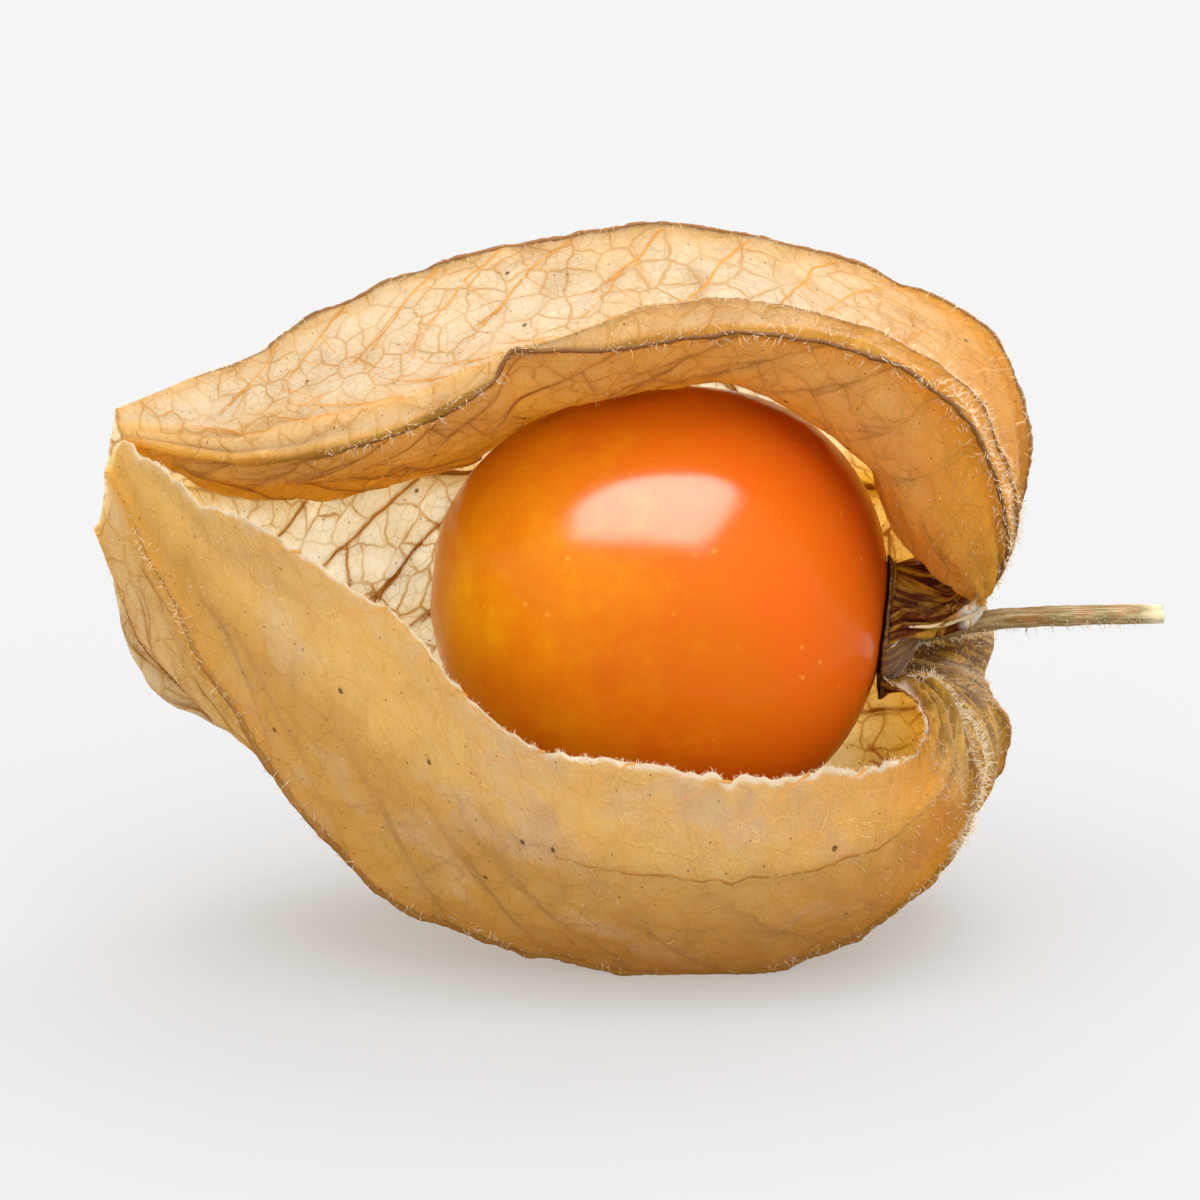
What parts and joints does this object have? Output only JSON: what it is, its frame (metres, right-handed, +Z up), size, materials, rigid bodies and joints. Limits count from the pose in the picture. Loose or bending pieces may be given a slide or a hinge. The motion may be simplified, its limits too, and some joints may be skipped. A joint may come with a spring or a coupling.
{
  "type": "physalis berry",
  "caption": "Ripe orange cape gooseberry on its short stalk inside its dry, papery, keeled husk, which is torn open along the front and lies on its underside.",
  "frame": {"origin": "under the middle of the whole object's bounding box, on the surface it lies on", "axes": "+X towards the stalk's cut end, -X towards the husk's tip, -Y out of the torn mouth, +Z up"},
  "size_m": [0.0468, 0.0314, 0.031],
  "materials": {
    "berry_skin": "smooth glossy fruit skin",
    "dry_husk": "dry, veined, translucent leaf skin",
    "stalk_fibre": "dry, downy green-brown stalk"
  },
  "bodies": {
    "root": {"berry": "berry_skin", "husk": "dry_husk", "stalk": "stalk_fibre"}
  },
  "joints": []
}
